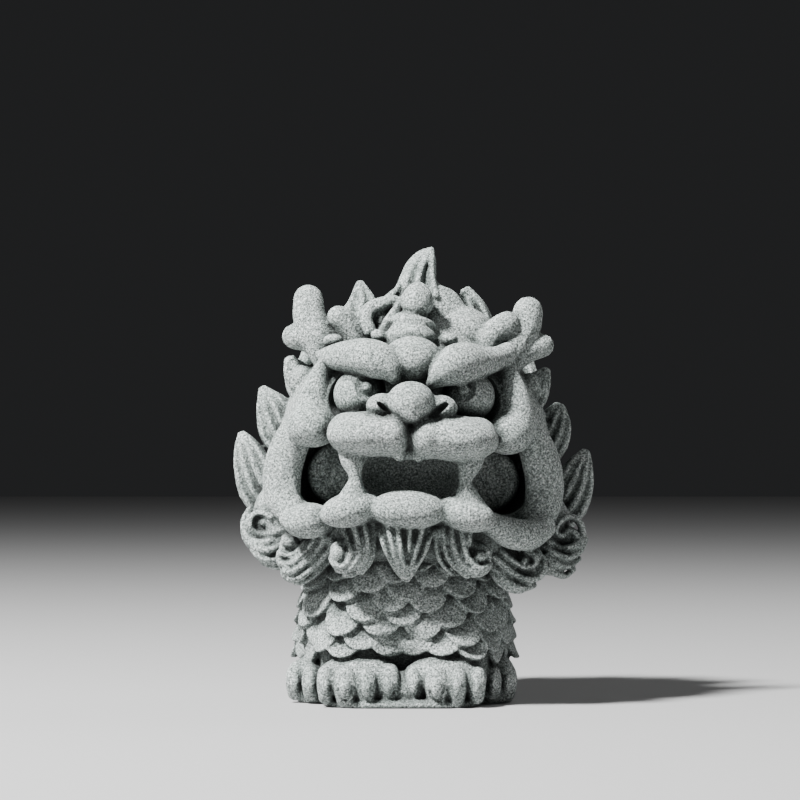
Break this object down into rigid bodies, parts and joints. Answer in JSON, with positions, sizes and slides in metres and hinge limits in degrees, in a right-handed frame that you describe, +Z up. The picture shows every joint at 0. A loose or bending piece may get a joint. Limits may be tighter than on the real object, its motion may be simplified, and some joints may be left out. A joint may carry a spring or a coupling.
{
  "type": "qilin figure",
  "caption": "Squat qilin ornament of cast sandstone: a great horned head with a gaping mouth, flame mane and curled beard on a scaled body with clawed paws.",
  "frame": {"origin": "middle of the figure's footprint, on the ground: the bottom centre of its box", "axes": "+Z up, the face looks along -Y, +X to the figure's own left"},
  "size_m": [0.0796, 0.0716, 0.1],
  "materials": {
    "cast_sandstone": "matte, coarse grey-green sandstone grain with dark and pale specks"
  },
  "bodies": {
    "root": {"qilin_figure": "cast_sandstone"}
  },
  "joints": []
}
